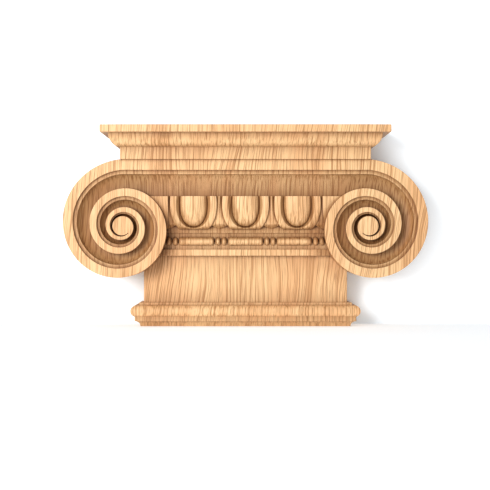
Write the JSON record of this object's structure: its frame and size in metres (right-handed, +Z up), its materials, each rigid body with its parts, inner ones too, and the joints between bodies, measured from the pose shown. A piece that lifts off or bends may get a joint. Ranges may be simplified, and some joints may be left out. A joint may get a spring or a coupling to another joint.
{
  "type": "ionic pilaster capital",
  "caption": "Flat-backed Ionic capital in oak with scrolls, egg-and-dart and bead-and-reel, to crown a pilaster or cabinet leg.",
  "frame": {"origin": "middle of the part's box on its underside; the flat back is 31 mm behind it", "axes": "+X to the right across the face, +Y towards the wall behind, +Z up"},
  "size_m": [0.2924, 0.062, 0.161],
  "materials": {
    "oak": "sanded oak with open pores, unvarnished satin"
  },
  "bodies": {
    "root": {"capital": "oak"}
  },
  "joints": []
}
